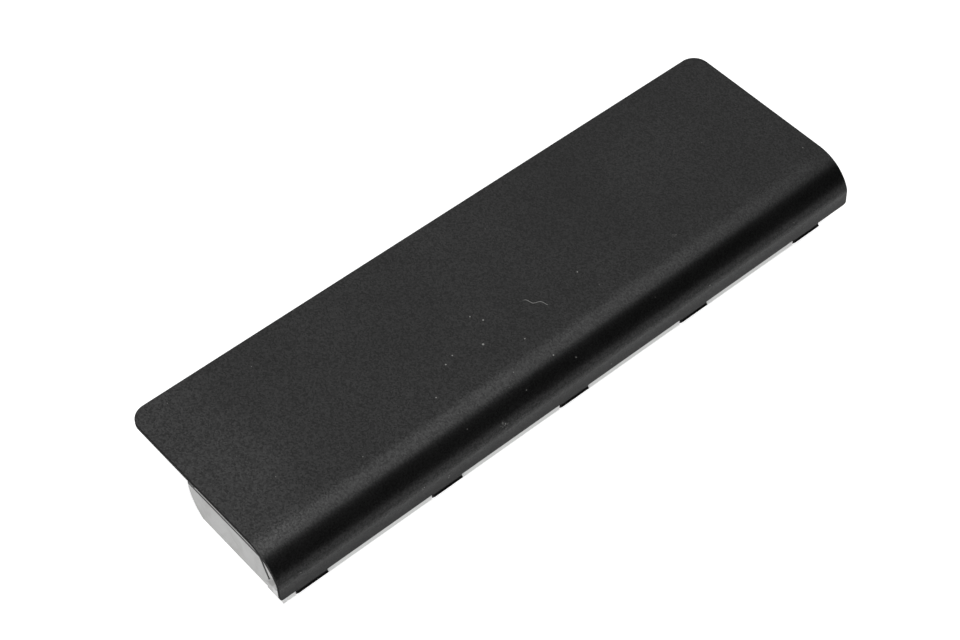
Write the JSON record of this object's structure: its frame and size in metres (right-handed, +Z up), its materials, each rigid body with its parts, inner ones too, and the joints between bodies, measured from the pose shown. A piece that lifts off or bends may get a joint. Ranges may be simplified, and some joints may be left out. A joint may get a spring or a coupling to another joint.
{
  "type": "laptop battery",
  "caption": "Removable laptop battery: black textured cover with a rolled front edge and snap hooks, over a light grey case with round cells, circuit board and slotted connector inside.",
  "frame": {"origin": "on the resting plane, under the middle of the cover's outline", "axes": "+X along the pack towards the positive end, +Y towards the flat overhanging back edge, so the rolled front faces -Y, +Z up through the cover"},
  "size_m": [0.2054, 0.0632, 0.0206],
  "materials": {
    "black_cover": "fine spark-eroded texture, matt",
    "grey_case": "smooth, slightly matt",
    "cell_sleeve": "shrink sleeve",
    "ring_paper": "fish paper",
    "nickel": "nickel strip",
    "pad_card": "insulating card",
    "board_laminate": "solder mask",
    "chip_epoxy": "moulded epoxy",
    "fuse_ceramic": "ceramic",
    "capacitor_ceramic": "ceramic",
    "bead_epoxy": "dipped epoxy",
    "cutoff_body": "moulded",
    "lead_black": "insulation",
    "lead_red": "insulation",
    "connector_plastic": "moulded",
    "contact_gold": "gold plated"
  },
  "bodies": {
    "root": {"top_cover": "black_cover", "upper_case": "grey_case", "lower_case": "grey_case", "cell_front_1": "cell_sleeve", "cell_front_2": "cell_sleeve", "cell_front_3": "cell_sleeve", "cell_rear_1": "cell_sleeve", "cell_rear_2": "cell_sleeve", "cell_rear_3": "cell_sleeve", "insulator_rings": "ring_paper", "negative_strip": "nickel", "positive_strip": "nickel", "series_link_1": "nickel", "series_link_2": "nickel", "end_insulators": "pad_card", "protection_board": "board_laminate", "gauge_chip": "chip_epoxy", "guard_chip": "chip_epoxy", "switch_transistors": "chip_epoxy", "chemical_fuse": "fuse_ceramic", "sense_resistor": "chip_epoxy", "chip_capacitors": "capacitor_ceramic", "thermistor": "bead_epoxy", "thermal_cutoff": "cutoff_body", "negative_lead": "lead_black", "positive_lead": "lead_red", "connector_housing": "connector_plastic", "connector_contacts": "contact_gold"}
  },
  "joints": []
}
